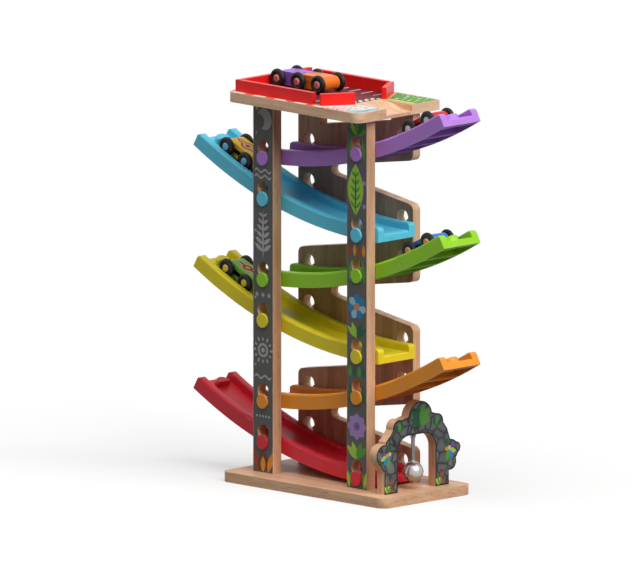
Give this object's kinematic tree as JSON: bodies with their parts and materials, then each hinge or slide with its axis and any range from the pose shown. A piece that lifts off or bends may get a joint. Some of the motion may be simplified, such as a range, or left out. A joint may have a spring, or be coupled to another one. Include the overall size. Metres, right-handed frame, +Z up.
{
  "type": "click clack track toy",
  "caption": "Wooden tower toy with alternating curved ramps hung by pegs, a fenced top deck with a chute, an arch with a swinging bell, and small flip cars that roll down.",
  "frame": {"origin": "on the ground under the middle of the ramps", "axes": "+X along the ramps towards the arch, +Y from the posts to the back panel, +Z up"},
  "size_m": [0.4174, 0.148, 0.4885],
  "materials": {
    "beech": "clear lacquer",
    "panel_wood": "stained, clear lacquer",
    "purple_plastic": "gloss",
    "blue_plastic": "gloss",
    "green_plastic": "gloss",
    "yellow_plastic": "gloss",
    "orange_plastic": "gloss",
    "red_plastic": "gloss",
    "red_paint": "gloss paint",
    "slate_paint": "printed",
    "bright_metal": "polished",
    "steel": "plain",
    "black_tyre": "satin",
    "red_car_paint": "gloss paint",
    "yellow_car_paint": "gloss paint",
    "blue_car_paint": "gloss paint",
    "green_car_paint": "gloss paint",
    "purple_car_paint": "gloss paint",
    "orange_car_paint": "gloss paint",
    "pale_hub": "satin",
    "sky_hub": "satin",
    "amber_hub": "satin",
    "yellow_hub": "satin",
    "coral_hub": "satin"
  },
  "bodies": {
    "track": {"base_plate": "beech", "left_post": "beech", "right_post": "beech", "back_panel": "panel_wood", "top_deck": "beech", "arch": "slate_paint", "bell_staple": "steel", "base_screws": "steel", "deck_dowels": "beech", "arch_dowels": "beech", "rail_pins": "beech", "purple_ramp": "purple_plastic", "blue_ramp": "blue_plastic", "green_ramp": "green_plastic", "yellow_ramp": "yellow_plastic", "orange_ramp": "orange_plastic", "red_ramp": "red_plastic", "left_end_rail": "red_paint", "front_rail": "red_paint", "rear_rail": "red_paint", "front_funnel_rail": "red_paint", "rear_funnel_rail": "red_paint"},
    "bell": {"bell_strap": "bright_metal", "bell_upper_shell": "bright_metal", "bell_lower_shell": "bright_metal", "bell_pellet": "steel"},
    "red_car": {"red_car_body": "red_car_paint"},
    "red_car_front_wheelset": {"red_car_front_axle": "pale_hub", "red_car_front_wheels": "black_tyre"},
    "red_car_rear_wheelset": {"red_car_rear_axle": "pale_hub", "red_car_rear_wheels": "black_tyre"},
    "yellow_car": {"yellow_car_body": "yellow_car_paint"},
    "yellow_car_front_wheelset": {"yellow_car_front_axle": "sky_hub", "yellow_car_front_wheels": "black_tyre"},
    "yellow_car_rear_wheelset": {"yellow_car_rear_axle": "sky_hub", "yellow_car_rear_wheels": "black_tyre"},
    "blue_car": {"blue_car_body": "blue_car_paint"},
    "blue_car_front_wheelset": {"blue_car_front_axle": "amber_hub", "blue_car_front_wheels": "black_tyre"},
    "blue_car_rear_wheelset": {"blue_car_rear_axle": "amber_hub", "blue_car_rear_wheels": "black_tyre"},
    "green_car": {"green_car_body": "green_car_paint"},
    "green_car_front_wheelset": {"green_car_front_axle": "yellow_hub", "green_car_front_wheels": "black_tyre"},
    "green_car_rear_wheelset": {"green_car_rear_axle": "yellow_hub", "green_car_rear_wheels": "black_tyre"},
    "tandem_purple_half": {"purple_half_body": "purple_car_paint"},
    "tandem_orange_half": {"orange_half_body": "orange_car_paint"},
    "tandem_left_wheelset": {"tandem_left_axle": "coral_hub", "tandem_left_wheels": "black_tyre"},
    "tandem_middle_wheelset": {"tandem_middle_axle": "coral_hub", "tandem_middle_wheels": "black_tyre"},
    "tandem_right_wheelset": {"tandem_right_axle": "coral_hub", "tandem_right_wheels": "black_tyre"}
  },
  "joints": [
    {"name": "bell_swing", "type": "hinge", "parent": "track", "child": "bell", "pos_m": [0.1265, 0, 0.075], "axis": [0, 1, 0], "range_deg": [-45, 45]},
    {"name": "red_car_roll", "type": "hinge", "parent": "track", "child": "red_car", "pos_m": [-0.0889, 0, 0.97685], "axis": [0, 1, 0], "range_deg": [0, 22.5]},
    {"name": "red_car_front_spin", "type": "hinge", "parent": "red_car", "child": "red_car_front_wheelset", "pos_m": [0.1365, 0, 0.44526], "axis": [0, -1, 0], "continuous": true},
    {"name": "red_car_rear_spin", "type": "hinge", "parent": "red_car", "child": "red_car_rear_wheelset", "pos_m": [0.16713, 0, 0.45932], "axis": [0, -1, 0], "continuous": true},
    {"name": "yellow_car_roll", "type": "hinge", "parent": "track", "child": "yellow_car", "pos_m": [0.0889, 0, 0.9042], "axis": [0, -1, 0], "range_deg": [0, 22.5]},
    {"name": "yellow_car_front_spin", "type": "hinge", "parent": "yellow_car", "child": "yellow_car_front_wheelset", "pos_m": [-0.1365, 0, 0.37261], "axis": [0, 1, 0], "continuous": true},
    {"name": "yellow_car_rear_spin", "type": "hinge", "parent": "yellow_car", "child": "yellow_car_rear_wheelset", "pos_m": [-0.16713, 0, 0.38667], "axis": [0, 1, 0], "continuous": true},
    {"name": "blue_car_roll", "type": "hinge", "parent": "track", "child": "blue_car", "pos_m": [-0.0889, 0, 0.83155], "axis": [0, 1, 0], "range_deg": [0, 22.5]},
    {"name": "blue_car_front_spin", "type": "hinge", "parent": "blue_car", "child": "blue_car_front_wheelset", "pos_m": [0.1365, 0, 0.29996], "axis": [0, -1, 0], "continuous": true},
    {"name": "blue_car_rear_spin", "type": "hinge", "parent": "blue_car", "child": "blue_car_rear_wheelset", "pos_m": [0.16713, 0, 0.31402], "axis": [0, -1, 0], "continuous": true},
    {"name": "green_car_roll", "type": "hinge", "parent": "track", "child": "green_car", "pos_m": [0.0889, 0, 0.7589], "axis": [0, -1, 0], "range_deg": [0, 22.5]},
    {"name": "green_car_front_spin", "type": "hinge", "parent": "green_car", "child": "green_car_front_wheelset", "pos_m": [-0.1365, 0, 0.22731], "axis": [0, 1, 0], "continuous": true},
    {"name": "green_car_rear_spin", "type": "hinge", "parent": "green_car", "child": "green_car_rear_wheelset", "pos_m": [-0.16713, 0, 0.24137], "axis": [0, 1, 0], "continuous": true},
    {"name": "tandem_roll", "type": "slide", "parent": "track", "child": "tandem_purple_half", "axis": [1, 0, 0], "range_m": [0, 0.045]},
    {"name": "tandem_fold", "type": "hinge", "parent": "tandem_purple_half", "child": "tandem_orange_half", "pos_m": [-0.0561, 0.0075, 0.4772], "axis": [0, -1, 0], "range_deg": [0, 35]},
    {"name": "tandem_left_spin", "type": "hinge", "parent": "tandem_purple_half", "child": "tandem_left_wheelset", "pos_m": [-0.0898, 0.0075, 0.4772], "axis": [0, 1, 0], "continuous": true},
    {"name": "tandem_middle_spin", "type": "hinge", "parent": "tandem_purple_half", "child": "tandem_middle_wheelset", "pos_m": [-0.0561, 0.0075, 0.4772], "axis": [0, 1, 0], "continuous": true},
    {"name": "tandem_right_spin", "type": "hinge", "parent": "tandem_orange_half", "child": "tandem_right_wheelset", "pos_m": [-0.0224, 0.0075, 0.4772], "axis": [0, 1, 0], "continuous": true}
  ],
  "couplings": [
    {"joint": "red_car_front_spin", "follows": "red_car_roll", "ratio": 52.124},
    {"joint": "red_car_rear_spin", "follows": "red_car_roll", "ratio": 52.124},
    {"joint": "yellow_car_front_spin", "follows": "yellow_car_roll", "ratio": 52.124},
    {"joint": "yellow_car_rear_spin", "follows": "yellow_car_roll", "ratio": 52.124},
    {"joint": "blue_car_front_spin", "follows": "blue_car_roll", "ratio": 52.124},
    {"joint": "blue_car_rear_spin", "follows": "blue_car_roll", "ratio": 52.124},
    {"joint": "green_car_front_spin", "follows": "green_car_roll", "ratio": 52.124},
    {"joint": "green_car_rear_spin", "follows": "green_car_roll", "ratio": 52.124},
    {"joint": "tandem_left_spin", "follows": "tandem_roll", "rad_per_m": 88.496},
    {"joint": "tandem_middle_spin", "follows": "tandem_roll", "rad_per_m": 88.496},
    {"joint": "tandem_right_spin", "follows": "tandem_roll", "rad_per_m": 88.496}
  ]
}
